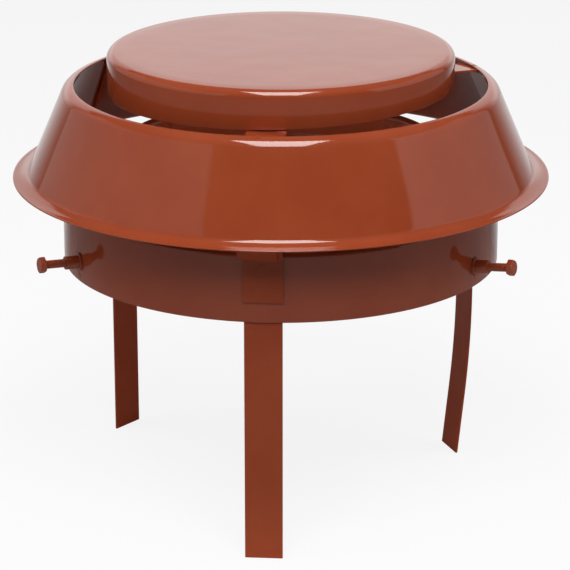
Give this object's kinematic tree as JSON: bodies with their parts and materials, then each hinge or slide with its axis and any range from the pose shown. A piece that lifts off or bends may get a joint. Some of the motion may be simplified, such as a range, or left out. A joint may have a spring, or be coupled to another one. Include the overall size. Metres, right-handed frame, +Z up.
{
  "type": "chimney cowl",
  "caption": "Spun steel chimney cowl: flat cap, flared deflector and clamp skirt joined by strip brackets, on strip legs with clamping screws.",
  "frame": {"origin": "on the axis of the spinnings, at the plane of the three feet", "axes": "+Z up along the axis of the spinnings, -Y towards the front leg, +X to the right seen from the front"},
  "size_m": [0.3736, 0.3736, 0.3158],
  "materials": {
    "paint": "gloss terracotta paint, over the whole assembly and its screws"
  },
  "bodies": {
    "cowl": {"base": "paint", "deflector": "paint", "cap": "paint", "leg_front": "paint", "leg_right": "paint", "leg_left": "paint", "clip_front": "paint", "clip_right": "paint", "clip_left": "paint", "strap_front": "paint", "strap_right": "paint", "strap_left": "paint", "boss_left": "paint", "boss_right": "paint", "boss_rear": "paint"},
    "screw_left": {"screw_left": "paint"},
    "screw_right": {"screw_right": "paint"},
    "screw_rear": {"screw_rear": "paint"}
  },
  "joints": [
    {"name": "screw_left_travel", "type": "slide", "parent": "cowl", "child": "screw_left", "axis": [0.8622, 0.5038, -0.0523], "range_m": [-0.0035, 0.0145]},
    {"name": "screw_right_travel", "type": "slide", "parent": "cowl", "child": "screw_right", "axis": [-0.8915, 0.4348, -0.1271], "range_m": [-0.0035, 0.0145]},
    {"name": "screw_rear_travel", "type": "slide", "parent": "cowl", "child": "screw_rear", "axis": [0.0452, -0.9952, -0.0872], "range_m": [-0.0035, 0.0145]}
  ]
}
